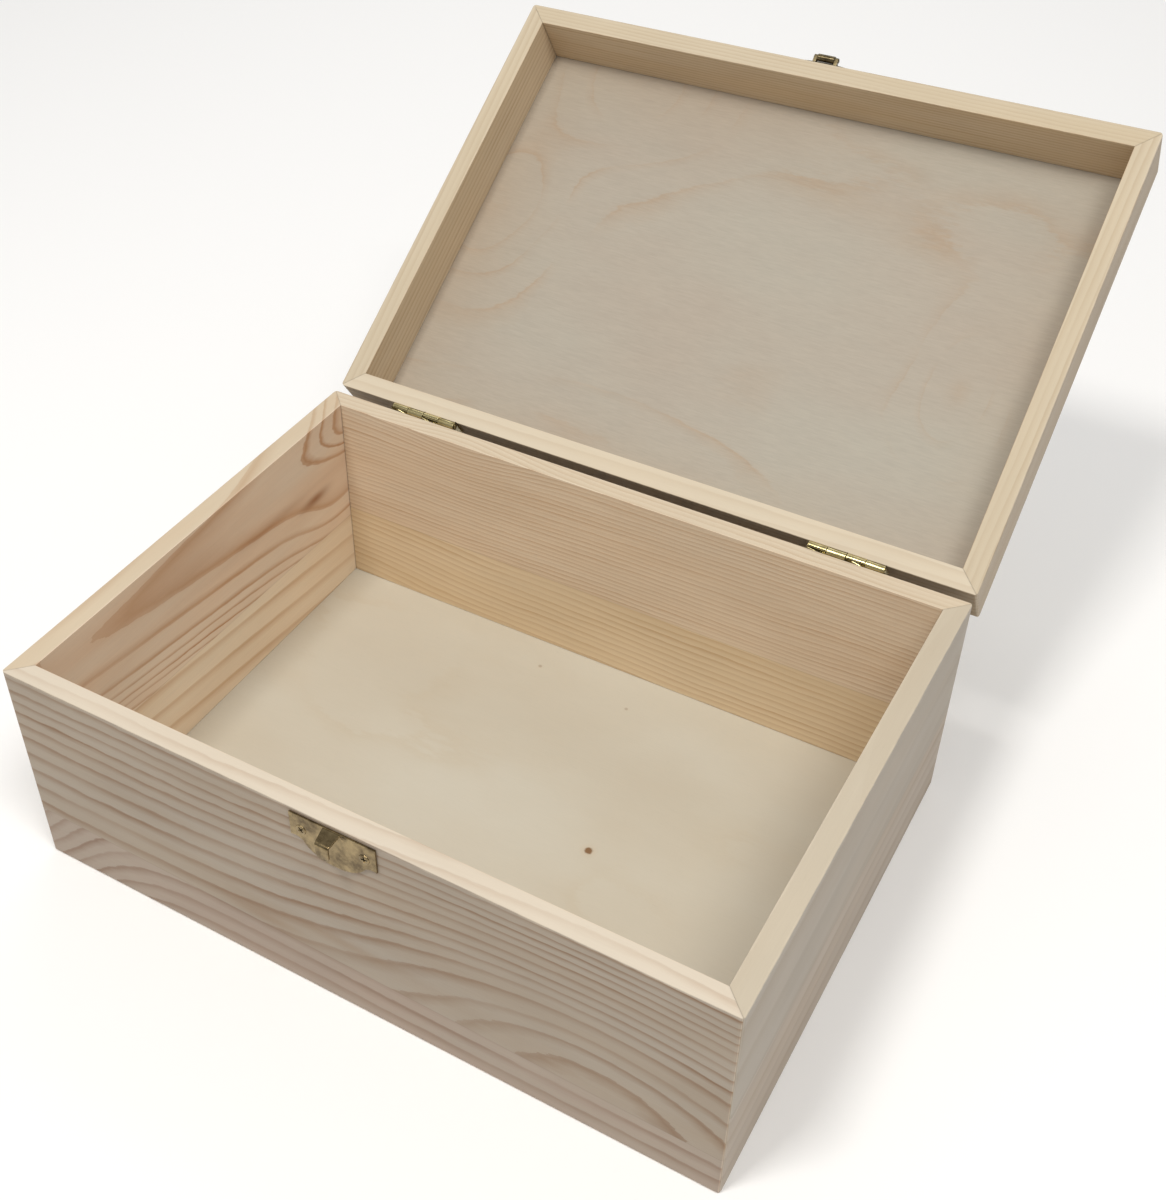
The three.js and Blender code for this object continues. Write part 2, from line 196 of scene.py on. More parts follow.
class Bench:
    """A material's node tree, with short calls that lay a node and join it."""

    def __init__(self, name: str) -> None:
        """Makes a material called `name` with a principled shader; `where` is the piece's length, height, depth."""
        self.material = bpy.data.materials.new(name)
        self.material.use_nodes = True
        self.tree = self.material.node_tree
        self.tree.nodes.clear()
        self.shader = self.tree.nodes.new("ShaderNodeBsdfPrincipled")
        out = self.tree.nodes.new("ShaderNodeOutputMaterial")
        self.tree.links.new(self.shader.outputs["BSDF"], out.inputs["Surface"])
        self.where = self.node("ShaderNodeAttribute", attribute_name=GRAIN).outputs["Vector"]

    def join(self, value: object, socket: Socket) -> None:
        """Links a socket to another, or sets a plain value on it.

        Args:
            value: A socket, a number or a tuple.
            socket: The input that takes it.
        """
        if isinstance(value, Socket):
            self.tree.links.new(value, socket)
        else:
            socket.default_value = value

    def node(self, kind: str, *values: object, **settings: object) -> bpy.types.Node:
        """Lays one node.

        Args:
            kind: The node's type.
            *values: What its inputs take, in order; None leaves one alone.
            **settings: Settings on the node itself.

        Returns:
            The node.
        """
        node = self.tree.nodes.new(kind)
        for key, setting in settings.items():
            setattr(node, key, setting)
        for socket, value in zip(node.inputs, values):
            if value is not None:
                self.join(value, socket)
        return node

    def math(self, how: str, a: Value, b: Value = 0.0, c: Value = 0.0) -> Socket:
        """Returns the result of one Math node on `a`, `b` and `c`."""
        return self.node("ShaderNodeMath", a, b, c, operation=how).outputs[0]

    def times(self, a: Value, b: Value) -> Socket:
        """Returns `a` times `b`."""
        return self.math("MULTIPLY", a, b)

    def minus(self, a: Value, b: Value) -> Socket:
        """Returns `a` less `b`."""
        return self.math("SUBTRACT", a, b)

    def vector(self, how: str, a: object, b: object = None) -> Socket:
        """Returns the vector result of one Vector Math node on `a` and `b`."""
        return self.node("ShaderNodeVectorMath", a, b, operation=how).outputs[0]

    def parts(self) -> tuple[Socket, ...]:
        """Returns how far along, up and into the piece a point lies, in millimetres."""
        return tuple(self.node("ShaderNodeSeparateXYZ", self.where).outputs)

    def gather(self, x: Value, y: Value, z: Value) -> Socket:
        """Returns the vector of three parts."""
        return self.node("ShaderNodeCombineXYZ", x, y, z).outputs[0]

    def noise(self, stretch: Triple, detail: float = 2.0, rough: float = 0.5, shift: float = 0.0,
              where: Socket | None = None) -> Socket:
        """Lays a noise stretched to a size.

        Args:
            stretch: The size of a patch along each coordinate, in millimetres.
            detail: Octaves of finer noise.
            rough: How strong the finer noise is.
            shift: Moves the pattern, so that two pieces differ.
            where: The coordinates; the piece's own if left out.

        Returns:
            The noise, about 0.5.
        """
        scaled = self.node("ShaderNodeMapping", where or self.where, (shift, shift * 1.7, shift * 0.6),
                           (0.0, 0.0, 0.0), tuple(1 / size for size in stretch))
        return self.node("ShaderNodeTexNoise", scaled.outputs[0], None, 1.0, detail, rough).outputs[0]

    def bulge(self, swell: "Swell") -> Socket:
        """Lays a soft mound on a piece.

        Args:
            swell: Where the mound is and how far it reaches.

        Returns:
            The mound, 1 at its middle.
        """
        off = self.vector("SUBTRACT", self.where, (swell.along, swell.across, 0.0))
        share = self.vector("MULTIPLY", off, (1 / swell.reach_along, 1 / swell.reach_across, 0.0))
        square = self.node("ShaderNodeVectorMath", share, share, operation="DOT_PRODUCT").outputs[1]
        return self.math("EXPONENT", self.times(square, -1.0))

    def spread(self, value: Value, low: float, high: float, to_low: float = 0.0, to_high: float = 1.0,
               smooth: bool = False) -> Socket:
        """Maps a range onto another and holds it there.

        Args:
            value: What is mapped.
            low: Start of the range.
            high: End of the range.
            to_low: What the start becomes.
            to_high: What the end becomes.
            smooth: Eases in and out.

        Returns:
            The mapped value.
        """
        kind = "SMOOTHSTEP" if smooth else "LINEAR"
        node = self.node("ShaderNodeMapRange", value, low, high, to_low, to_high, interpolation_type=kind)
        return node.outputs[0]

    def ramp(self, value: Value, stops: Sequence[tuple[float, float]]) -> Socket:
        """Returns a grey ramp of `value` through the (place, brightness) pairs in `stops`."""
        node = self.node("ShaderNodeValToRGB", value)
        elements = node.color_ramp.elements
        while len(elements) < len(stops):
            elements.new(0.5)
        for element, (place, grey) in zip(elements, stops):
            element.position = place
            element.color = (grey, grey, grey, 1)
        return node.outputs[0]

    def mix(self, share: Value, a: object, b: object, how: str = "MIX") -> Socket:
        """Blends two colours.

        Args:
            share: How much of `b` shows.
            a: The first colour.
            b: The second colour.
            how: The blend.

        Returns:
            The blended colour.
        """
        node = self.tree.nodes.new("ShaderNodeMix")
        node.data_type = "RGBA"
        node.blend_type = how
        self.join(share, node.inputs[0])
        for socket, value in ((node.inputs[6], a), (node.inputs[7], b)):
            self.join((*value, 1.0) if isinstance(value, tuple) else value, socket)
        return node.outputs[2]

    def tint(self, colour: object, amount: Value) -> Socket:
        """Returns `colour` times the grey `amount`."""
        return self.mix(1.0, colour, self.gather(amount, amount, amount), "MULTIPLY")

    def dress(self, colour: object, rough: Value, height: Value, depth: float,
              **constants: float) -> bpy.types.Material:
        """Joins the finish to the shader.

        Args:
            colour: The base colour.
            rough: The roughness.
            height: The relief, 0 to 1.
            depth: How deep the relief is, in millimetres.
            **constants: Plain values on the shader's own sockets, underscores for spaces.

        Returns:
            The finished material.
        """
        self.join((*colour, 1.0) if isinstance(colour, tuple) else colour, self.shader.inputs["Base Color"])
        self.join(rough, self.shader.inputs["Roughness"])
        bump = self.tree.nodes.new("ShaderNodeBump")
        bump.inputs["Strength"].default_value = 1.0
        bump.inputs["Distance"].default_value = depth * 0.001
        self.join(height, bump.inputs["Height"])
        self.tree.links.new(bump.outputs[0], self.shader.inputs["Normal"])
        for name, value in constants.items():
            self.shader.inputs[name.replace("_", " ")].default_value = value
        return self.material


# ---------------- wood finishes


@dataclass(frozen=True)
class Swell:
    """A place where the growth rings bulge up the board, in millimetres along and across it."""

    along: float
    across: float
    reach_along: float
    reach_across: float
    lift: float


@dataclass(frozen=True)
class Figure:
    """How the growth rings of one strip of pine run, and its colours."""

    pitch: float = 5.5
    tilt: float = 0.0
    lean: float = 0.8
    datum: float = 0.0
    swells: tuple[Swell, ...] = ()
    ages: tuple[Point, ...] = ()
    wander: float = 1.2
    ripple: float = 0.35
    line: float = 0.8
    late_start: float = 0.5
    flip: bool = False
    marks: tuple[Swell, ...] = ()
    early: Colour = srgb(212, 198, 176)
    warm: Colour = srgb(207, 189, 162)
    late: Colour = srgb(164, 139, 110)
    knot: Colour = srgb(140, 88, 48)
    rim: Colour = srgb(193, 179, 153)
    seed: float = 0.0


@dataclass(frozen=True)
class Timber:
    """What a board is made of: two glued strips, the joint's height at both ends, and the painted light and shade
    multiplied into its outside and inside faces.
    """

    upper: Figure
    lower: Figure
    joint: Point
    # outside darkens the outer face as painted shade; inside tints the inner face as painted bounce light and painted
    # shade.
    outside: Colour
    inside: Colour


@dataclass(frozen=True)
class PineFinish:
    """Bare sanded pine on a board of some length, between two heights."""

    name: str
    timber: Timber
    length: float
    low: float
    high: float

    def field(self, bench: Bench, figure: Figure) -> Socket:
        """Works out how many rings lie between a point and the pith.

        Args:
            bench: The material being made.
            figure: The strip's figure.

        Returns:
            The count of rings, whole at each ring's end.
        """
        along, across, deep = bench.parts()
        height = bench.math("MULTIPLY_ADD", along, -figure.tilt, across)
        height = bench.math("MULTIPLY_ADD", bench.minus(deep, figure.datum), figure.lean, height)
        for swell in figure.swells:
            height = bench.math("MULTIPLY_ADD", bench.bulge(swell), -swell.lift, height)
        slow = bench.noise((70.0, 24.0, 24.0), 2.0, 0.5, figure.seed)
        quick = bench.noise((11.0, 2.6, 2.6), 2.0, 0.6, figure.seed + 3.0)
        height = bench.math("MULTIPLY_ADD", bench.minus(slow, 0.5), figure.wander * 4, height)
        height = bench.math("MULTIPLY_ADD", bench.minus(quick, 0.5), figure.ripple * 3, height)
        if not figure.ages:
            return bench.times(height, 1 / figure.pitch)
        first, last = figure.ages[0], figure.ages[-1]
        span, years = last[0] - first[0], last[1] - first[1]
        curve = self.curve(bench, [((up - first[0]) / span, (age - first[1]) / years) for up, age in figure.ages])
        bench.join(bench.math("MULTIPLY_ADD", height, 1 / span, -first[0] / span), curve.inputs["Value"])
        return bench.math("MULTIPLY_ADD", curve.outputs[0], years, first[1] + WHOLE_RINGS)

    @staticmethod
    def curve(bench: Bench, points: Sequence[Point]) -> bpy.types.Node:
        """Returns a Float Curve node through `points`, which run from 0 to 1."""
        node = bench.tree.nodes.new("ShaderNodeFloatCurve")
        handles = node.mapping.curves[0].points
        while len(handles) < len(points):
            handles.new(0.5, 0.5)
        for handle, point in zip(handles, points):
            handle.location = point
        node.mapping.update()
        return node

    def strip(self, bench: Bench, figure: Figure) -> tuple[Socket, Socket]:
        """Colours one strip.

        Args:
            bench: The material being made.
            figure: The strip's figure.

        Returns:
            Its colour, and how much late wood there is.
        """
        rings = self.field(bench, figure)
        along = bench.parts()[0]
        share = bench.math("FRACT", rings)
        if figure.flip:
            share = bench.minus(1.0, share)
        number = bench.math("FLOOR", rings)
        start = figure.late_start
        late = bench.ramp(share, ((0.0, 0.12), (0.07, 0.0), (start, 0.05), (start + (0.9 - start) * 0.6, 0.5),
                                  (0.9, 1.0), (0.97, 0.75)))
        place = bench.gather(bench.math("DIVIDE", along, 85.0), bench.times(number, 2.37), figure.seed)
        vary = bench.node("ShaderNodeTexNoise", place, None, 1.0, 1.0, 0.5).outputs[0]
        strength = bench.spread(vary, 0.25, 0.75, 0.35, 1.25)
        amount = bench.times(bench.times(late, strength), figure.line)
        patch = bench.spread(bench.noise((120.0, 16.0, 16.0), 2.0, 0.5, figure.seed + 7.0), 0.3, 0.7)
        base = bench.mix(patch, figure.early, figure.warm)
        colour = bench.mix(amount, base, figure.late)
        for mark in figure.marks:
            colour = bench.mix(bench.times(bench.bulge(mark), mark.lift), colour, figure.knot)
        return colour, amount

    def make(self) -> bpy.types.Material:
        """Builds the board's material.

        Returns:
            The material.
        """
        bench, timber = Bench(self.name), self.timber
        along, across, deep = bench.parts()
        above, above_late = self.strip(bench, timber.upper)
        below, below_late = self.strip(bench, timber.lower)
        start, end = timber.joint
        rise = bench.minus(across, bench.math("MULTIPLY_ADD", along, (end - start) / self.length, start))
        side = bench.spread(rise, -0.06, 0.06)
        colour = bench.mix(side, below, above)
        late = bench.math("ADD", bench.times(side, above_late),
                          bench.times(bench.minus(1.0, side), below_late))
        joint = bench.spread(bench.math("ABSOLUTE", rise), 0.05, 0.4, 0.9, 1.0, True)
        fibre = bench.noise((22.0, 0.45, 0.45), 3.0, 0.65, 1.0)
        fleck = bench.spread(bench.noise((5.0, 0.5, 0.5), 2.0, 0.5, 5.0), 0.64, 0.76, 1.0, 0.93)
        cloud = bench.noise((60.0, 30.0, 30.0), 2.0, 0.5, 9.0)
        shade = bench.times(bench.spread(fibre, 0.2, 0.8, 0.95, 1.05),
                            bench.spread(cloud, 0.3, 0.7, 0.965, 1.03))
        shade = bench.times(bench.times(shade, joint), fleck)
        from_edge = bench.math("MINIMUM", bench.minus(across, self.low), bench.minus(self.high, across))
        from_face = bench.math("MINIMUM", deep, bench.minus(SIZES.wall, deep))
        arris = bench.math("MAXIMUM", bench.math("ABSOLUTE", from_edge), from_face)
        nibble = bench.noise((9.0, 2.0, 2.0), 3.0, 0.6, 13.0)
        wear = bench.times(bench.spread(arris, 0.2, 1.1, 1.0, 0.0, True), bench.spread(nibble, 0.4, 0.65))
        near = bench.math("MINIMUM", bench.minus(along, deep),
                          bench.minus(bench.minus(self.length, along), deep))
        mitre = bench.spread(near, 0.05, 0.75, 0.8, 1.0, True)
        colour = bench.tint(colour, bench.times(shade, mitre))
        # Painted light: the outer face takes the timber's outside tone as painted shade, and the inner face takes its
        # inside tone as painted bounce light and shade.
        outer = bench.spread(deep, 0.25, 0.45, 1.0, 0.0)
        inner = bench.spread(deep, SIZES.wall - 0.45, SIZES.wall - 0.25)
        colour = bench.mix(outer, colour, bench.mix(1.0, colour, timber.outside, "MULTIPLY"))
        colour = bench.mix(inner, colour, bench.mix(1.0, colour, timber.inside, "MULTIPLY"))
        sawn = bench.spread(bench.math("ABSOLUTE", from_edge), 0.03, 0.08, 0.5, 0.0)
        colour = bench.mix(sawn, colour, timber.upper.rim)
        colour = bench.mix(bench.times(wear, 0.3), colour, srgb(222, 208, 184))
        rough = bench.spread(fibre, 0.2, 0.8, 0.56, 0.7)
        height = bench.math("MULTIPLY_ADD", fibre, 0.45, bench.times(late, 0.55))
        return bench.dress(colour, rough, height, 0.09, Specular_IOR_Level=0.28)


@dataclass(frozen=True)
class Spot:
    """A pin knot or speck in veneer: where it is, how big, and how dark."""

    x: float
    y: float
    radius: float
    dark: float


@dataclass(frozen=True)
class PlyFinish:
    """Rotary-cut veneer: silky short fibres, a few growth contours, and specks."""

    name: str
    early: Colour
    warm: Colour
    late: Colour
    contours: float
    contour_share: float
    mottle: float
    swells: tuple[Swell, ...] = ()
    spots: tuple[Spot, ...] = ()
    blush: tuple[Swell, ...] = ()

    def loops(self, bench: Bench) -> Socket:
        """Draws the growth contours of the veneer.

        Args:
            bench: The material being made.

        Returns:
            How strongly a contour shows.
        """
        height = bench.times(bench.noise((150.0, 80.0, 80.0), 1.5, 0.45, 2.0), 1.05)
        for swell in self.swells:
            height = bench.math("MULTIPLY_ADD", bench.bulge(swell), swell.lift, height)
        height = bench.math("MULTIPLY_ADD", bench.noise((9.0, 3.0, 3.0), 3.0, 0.6, 4.0), 0.06, height)
        rings = bench.math("FRACT", bench.times(height, self.contours))
        line = bench.ramp(rings, ((0.0, 0.0), (0.66, 0.0), (0.86, 0.5), (0.925, 1.0), (0.96, 0.1)))
        fade = bench.spread(bench.noise((70.0, 45.0, 45.0), 2.0, 0.5, 6.0), 0.42, 0.62)
        return bench.times(line, fade)

    def make(self) -> bpy.types.Material:
        """Builds the panel's material.

        Returns:
            The material.
        """
        bench = Bench(self.name)
        patch = bench.spread(bench.noise((110.0, 60.0, 60.0), 3.0, 0.5, 11.0), 0.3, 0.7)
        colour = bench.mix(patch, self.early, self.warm)
        for patch in self.blush:
            colour = bench.mix(bench.times(bench.bulge(patch), patch.lift), colour, self.late)
        colour = bench.mix(bench.times(self.loops(bench), self.contour_share), colour, self.late)
        fibre = bench.noise((7.0, 0.6, 0.6), 3.0, 0.6, 21.0)
        silk = bench.noise((26.0, 9.0, 9.0), 4.0, 0.6, 31.0)
        shade = bench.times(bench.spread(fibre, 0.25, 0.75, 1 - self.mottle, 1 + self.mottle),
                           bench.spread(silk, 0.25, 0.75, 1 - self.mottle * 0.4, 1 + self.mottle * 0.4))
        dash = bench.spread(bench.noise((3.2, 0.35, 0.5), 2.0, 0.5, 41.0), 0.68, 0.78, 1.0, 0.94)
        colour = bench.tint(colour, bench.times(shade, dash))
        flat = bench.vector("MULTIPLY", bench.where, (1.0, 1.0, 0.0))
        for spot in self.spots:
            off = bench.vector("SUBTRACT", flat, (spot.x, spot.y, 0.0))
            reach = bench.node("ShaderNodeVectorMath", off, operation="LENGTH").outputs[1]
            torn = bench.noise((1.2, 1.2, 1.2), 2.0, 0.5, spot.x)
            ragged = bench.math("MULTIPLY_ADD", torn, spot.radius * 0.6, reach)
            mark = bench.spread(ragged, spot.radius * 1.05, spot.radius * 1.75, spot.dark, 0.0, True)
            colour = bench.mix(mark, colour, srgb(112, 78, 44))
            halo = bench.spread(reach, spot.radius * 1.2, spot.radius * 3.0, 0.12 * spot.dark, 0.0, True)
            colour = bench.mix(halo, colour, srgb(190, 150, 100))
        rough = bench.spread(silk, 0.25, 0.75, 0.5, 0.64)
        height = bench.math("MULTIPLY_ADD", fibre, 0.7, bench.times(silk, 0.3))
        return bench.dress(colour, rough, height, 0.05, Specular_IOR_Level=0.3)


# ---------------- metal finishes


@dataclass(frozen=True)
class BrassFinish:
    """Plated sheet brass: brushed, a little tarnished, and bright where it is rubbed."""

    name: str
    bright: Colour
    tarnish: Colour
    share: float
    rough: float

    def make(self) -> bpy.types.Material:
        """Builds the metal's material.

        Returns:
            The material.
        """
        bench = Bench(self.name)
        cloud = bench.noise((5.0, 5.0, 5.0), 4.0, 0.6, 3.0)
        brushed = bench.noise((0.35, 6.0, 6.0), 3.0, 0.6, 8.0)
        pits = bench.noise((0.5, 0.5, 0.5), 3.0, 0.5, 17.5)
        dull = bench.times(bench.spread(cloud, 0.35, 0.65), self.share)
        colour = bench.mix(dull, self.bright, self.tarnish)
        colour = bench.tint(colour, bench.spread(brushed, 0.2, 0.8, 0.92, 1.06))
        rough = bench.math("ADD", bench.spread(cloud, 0.3, 0.7, self.rough * 0.8, self.rough * 1.3),
                           bench.spread(pits, 0.3, 0.7, -0.04, 0.06))
        height = bench.math("MULTIPLY_ADD", brushed, 0.35, bench.times(pits, 0.65))
        return bench.dress(colour, rough, height, 0.02, Metallic=1.0)


BRIGHT_BRASS = BrassFinish("hinge_brass", srgb(206, 192, 144), srgb(132, 116, 72), 0.65, 0.26)
DULL_BRASS = BrassFinish("catch_brass", srgb(162, 143, 106), srgb(88, 73, 50), 0.85, 0.2)
# Painted shade: the hasp's brass is made darker than the catch's to stand in for its shaded faces and the dark
# surroundings they reflect (painted shade and painted reflection).
SHADED_HASP_BRASS = BrassFinish("hasp_brass", srgb(128, 115, 85), srgb(70, 60, 42), 0.88, 0.26)


# ---------------- pieces


def place_piece(bm: Drawing, kind: str, node: str, seat: Seat, material: bpy.types.Material) -> None:
    """Turns a drawing into a finished piece that rides where it belongs.

    Args:
        bm: The drawing, in millimetres with the lid shut; it already holds its grain coordinates or gets them here.
        kind: What it is made of, which begins its name.
        node: The CAD node it stands for, which ends its name.
        seat: The body it rides on.
        material: Its finish.
    """
    layer = bm.verts.layers.float_vector.get(GRAIN)
    if layer is None:
        layer = bm.verts.layers.float_vector.new(GRAIN)
        for vert in bm.verts:
            vert[layer] = vert.co
    bmesh.ops.remove_doubles(bm, verts=bm.verts, dist=0.002)
    face_out(bm)
    bm.transform(seat.place)
    mesh = bpy.data.meshes.new(f"{kind}_{node}")
    bm.to_mesh(mesh)
    bm.free()
    mesh.materials.append(material)
    mesh.polygons.foreach_set("use_smooth", [True] * len(mesh.polygons))
    mesh.set_sharp_from_angle(angle=math.radians(SHARP))
    piece = bpy.data.objects.new(f"{kind}_{node}", mesh)
    bpy.context.scene.collection.objects.link(piece)
    normals = piece.modifiers.new("flat faces", "WEIGHTED_NORMAL")
    normals.keep_sharp = True
    normals.weight = 90
    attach(piece, seat.value)
    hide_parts(node)
    LOG.info("%s_%s: %d faces on %s", kind, node, len(mesh.polygons), seat.value)


def face_out(bm: Drawing) -> None:
    """Turns every face outwards."""
    bmesh.ops.recalc_face_normals(bm, faces=bm.faces)


def verts_in(items: Iterable[object]) -> list[bmesh.types.BMVert]:
    """Returns the vertices among what an operator gave back."""
    return [item for item in items if isinstance(item, bmesh.types.BMVert)]


def shift(bm: Drawing, x: float, y: float, z: float) -> None:
    """Moves a whole drawing."""
    bmesh.ops.translate(bm, verts=bm.verts, vec=(x, y, z))


def swivel(bm: Drawing, degrees: float, axis: str) -> None:
    """Turns a whole drawing about one of the axes."""
    bmesh.ops.rotate(bm, verts=bm.verts, cent=(0, 0, 0), matrix=Matrix.Rotation(math.radians(degrees), 3, axis))


def draw_out(bm: Drawing, faces: list[bmesh.types.BMFace], x: float, y: float, z: float) -> None:
    """Extrudes faces and moves what comes out by (x, y, z)."""
    drawn = bmesh.ops.extrude_face_region(bm, geom=faces)
    bmesh.ops.translate(bm, verts=verts_in(drawn["geom"]), vec=(x, y, z))


def bevel(bm: Drawing, geom: list, offset: float, segments: int, affect: str, clamp: bool) -> None:
    """Rounds edges or corners.

    Args:
        bm: The drawing.
        geom: What is rounded.
        offset: How far the rounding reaches.
        segments: How many faces it gets.
        affect: "EDGES" or "VERTICES".
        clamp: Stops the rounding where it would overlap.
    """
    bmesh.ops.bevel(bm, geom=geom, offset=offset, offset_type="OFFSET", profile_type="SUPERELLIPSE",
                    segments=segments, profile=0.5, affect=affect, material=-1, clamp_overlap=clamp)


def spin(bm: Drawing, geom: list, middle_y: float, degrees: float, steps: int, merge: bool) -> None:
    """Sweeps geometry round a line along X.

    Args:
        bm: The drawing.
        geom: What is swept.
        middle_y: Where the line lies, front to back.
        degrees: How far it goes round.
        steps: How many faces that makes.
        merge: Joins the end to the start.
    """
    bmesh.ops.spin(bm, geom=geom, cent=(0, middle_y, 0), axis=(1, 0, 0), dvec=(0, 0, 0),
                   angle=math.radians(degrees), steps=steps, use_merge=merge, use_duplicate=False)


def lathe(profile: Sequence[Point], steps: int) -> Drawing:
    """Turns a solid about X from its profile.

    Args:
        profile: Points along the axis, each with the radius there.
        steps: How many faces go round.

    Returns:
        The solid.
    """
    bm = bmesh.new()
    verts = [bm.verts.new((x, radius, 0)) for x, radius in profile]
    edges = [bm.edges.new(pair) for pair in zip(verts, verts[1:])]
    spin(bm, verts + edges, 0, 360, steps, True)
    return bm


def take_in(bm: Drawing, part: Drawing) -> None:
    """Adds one drawing to another and frees it."""
    scrap = bpy.data.meshes.new("part")
    part.to_mesh(scrap)
    part.free()
    bm.from_mesh(scrap)
    bpy.data.meshes.remove(scrap)


def cut(bm: Drawing, point: Vector, away: Vector) -> None:
    """Saws a solid along a plane, drops what is beyond it and closes the cut.

    Args:
        bm: The solid.
        point: A point of the plane.
        away: The direction of the part that goes.
    """
    geometry = bm.verts[:] + bm.edges[:] + bm.faces[:]
    sawn = bmesh.ops.bisect_plane(bm, geom=geometry, dist=1e-4, plane_co=point, plane_no=away, clear_outer=True)
    edges = [item for item in sawn["geom_cut"] if isinstance(item, bmesh.types.BMEdge)]
    if edges:
        bmesh.ops.holes_fill(bm, edges=edges, sides=0)


@dataclass
class Board:
    """One mitred board, drawn along X with its outer face at the front, then turned to its side of the box."""

    node: str
    seat: Seat
    side: Side
    low: float
    high: float
    timber: Timber
    arris: float = 0.35
    spare: float = 5.0

    def section(self, bm: Drawing, start: float) -> None:
        """Draws the board's end, with its rounded edges and the rebate for the panel.

        Args:
            bm: The drawing.
            start: Where the end lies along X.
        """
        low, high, edge, wall, panel = self.low, self.high, self.arris, SIZES.wall, SIZES.panel + SIZES.fit
        inner = wall - SIZES.rebate
        if self.seat is Seat.BOX:
            corners = [(0, low, SIZES.foot_round), (inner, low, 0.3), (inner, low + panel, 0.0),
                       (wall, low + panel, 0.2), (wall, high, edge), (0, high, edge)]
        else:
            corners = [(0, low, edge), (wall, low, edge), (wall, high - panel, 0.2), (inner, high - panel, 0.0),
                       (inner, high, 0.3), (0, high, SIZES.lid_edge_round)]
        verts = [bm.verts.new((start, deep_in, up)) for deep_in, up, _ in corners]
        bm.faces.new(verts)
        for vert, (_, _, radius) in zip(verts, corners):
            if radius:
                bevel(bm, [vert], radius, max(2, round(radius * 3)), "VERTICES", False)

    def build(self) -> None:
        """Makes the board."""
        length, across = self.side.span
        half, soft = length / 2, SIZES.corner_round
        bm = bmesh.new()
        self.section(bm, -half - self.spare)
        draw_out(bm, bm.faces[:], length + 2 * self.spare, 0, 0)
        face_out(bm)
        for sign in (-1, 1):
            cut(bm, Vector((sign * (half - 0.05), 0, 0)), Vector((sign, 1, 0)).normalized())
            middle = Vector((sign * (half - soft), soft, 0))
            for degrees in (7.5, 22.5, 37.5):
                tilt = math.radians(degrees)
                outward = Vector((sign * math.sin(tilt), -math.cos(tilt), 0))
                cut(bm, middle + outward * soft, outward)
        layer = bm.verts.layers.float_vector.new(GRAIN)
        way = -1 if self.side in (Side.BACK, Side.LEFT) else 1
        for vert in bm.verts:
            vert[layer] = (half + way * vert.co.x, vert.co.z, vert.co.y)
        shift(bm, 0, -across / 2, 0)
        swivel(bm, self.side.value, "Z")
        finish = PineFinish(f"pine_{self.node}", self.timber, length, self.low, self.high)
        place_piece(bm, "pine", self.node, self.seat, finish.make())


@dataclass
class Panel:
    """A plywood panel let into the boards' rebates."""

    node: str
    seat: Seat
    low: float
    slot: str
    finish: PlyFinish

    def build(self) -> None:
        """Makes the panel."""
        inset = SIZES.wall - SIZES.rebate + SIZES.fit
        bm = bmesh.new()
        bmesh.ops.create_cube(bm, size=1.0)
        bmesh.ops.scale(bm, verts=bm.verts, vec=(SIZES.width - 2 * inset, SIZES.depth - 2 * inset, SIZES.panel))
        bevel(bm, bm.edges[:], 0.25, 2, "EDGES", True)
        shift(bm, 0, 0, self.low + SIZES.panel / 2)
        place_piece(bm, "ply", self.node, self.seat, self.finish.make())


# ---------------- brass pieces


def round_line(corners: Sequence[Triple]) -> list[Point]:
    """Rounds the corners of a closed outline.

    Args:
        corners: Each corner's two coordinates and its radius.

    Returns:
        The outline's points.
    """
    bm = bmesh.new()
    verts = [bm.verts.new((x, 0, z)) for x, z, _ in corners]
    bm.faces.new(verts)
    for vert, (_, _, radius) in zip(verts, corners):
        if radius:
            bevel(bm, [vert], radius, 4, "VERTICES", True)
    bm.faces.ensure_lookup_table()
    points = [(vert.co.x, vert.co.z) for vert in bm.faces[0].verts]
    bm.free()
    return points


@dataclass(frozen=True)
class Hole:
    """A round countersunk hole in sheet metal."""

    x: float
    z: float
    radius: float = 1.55
    sink: float = 0.62


def stamped(outline: Sequence[Point], holes: Sequence[Hole], thick: float,
            windows: Sequence[Sequence[Point]] = ()) -> Drawing:
    """Stamps a plate out of sheet metal, facing -Y with its face at y = 0.

    Args:
        outline: Its edge, x across and z up.
        holes: Its screw holes.
        thick: The sheet's thickness.
        windows: Other openings.

    Returns:
        The plate.
    """
    bm = bmesh.new()
    for loop in (outline, *windows):
        verts = [bm.verts.new((x, 0, z)) for x, z in loop]
        for first, second in zip(verts, verts[1:] + verts[:1]):
            bm.edges.new((first, second))
    for hole in holes:
        at = Matrix.Translation((hole.x, 0, hole.z)) @ Matrix.Rotation(math.pi / 2, 4, "X")
        bmesh.ops.create_circle(bm, cap_ends=False, segments=24, radius=hole.radius, matrix=at)
    bmesh.ops.triangle_fill(bm, use_beauty=True, use_dissolve=False, edges=bm.edges[:], normal=(0, -1, 0))
    draw_out(bm, bm.faces[:], 0, thick, 0)
    face_out(bm)
    for hole in holes:
        rim = [edge for edge in bm.edges if all(abs(vert.co.y) < 1e-5 and abs(
            math.hypot(vert.co.x - hole.x, vert.co.z - hole.z) - hole.radius) < 1e-3 for vert in edge.verts)]
        bevel(bm, rim, hole.sink, 1, "EDGES", False)
    return bm


def tabs_of(bm: Drawing) -> list[bmesh.types.BMFace]:
    """Returns the ends of a plate's tabs, which lie at z = 0."""
    return [face for face in bm.faces if all(abs(vert.co.z) < 1e-5 for vert in face.verts)]


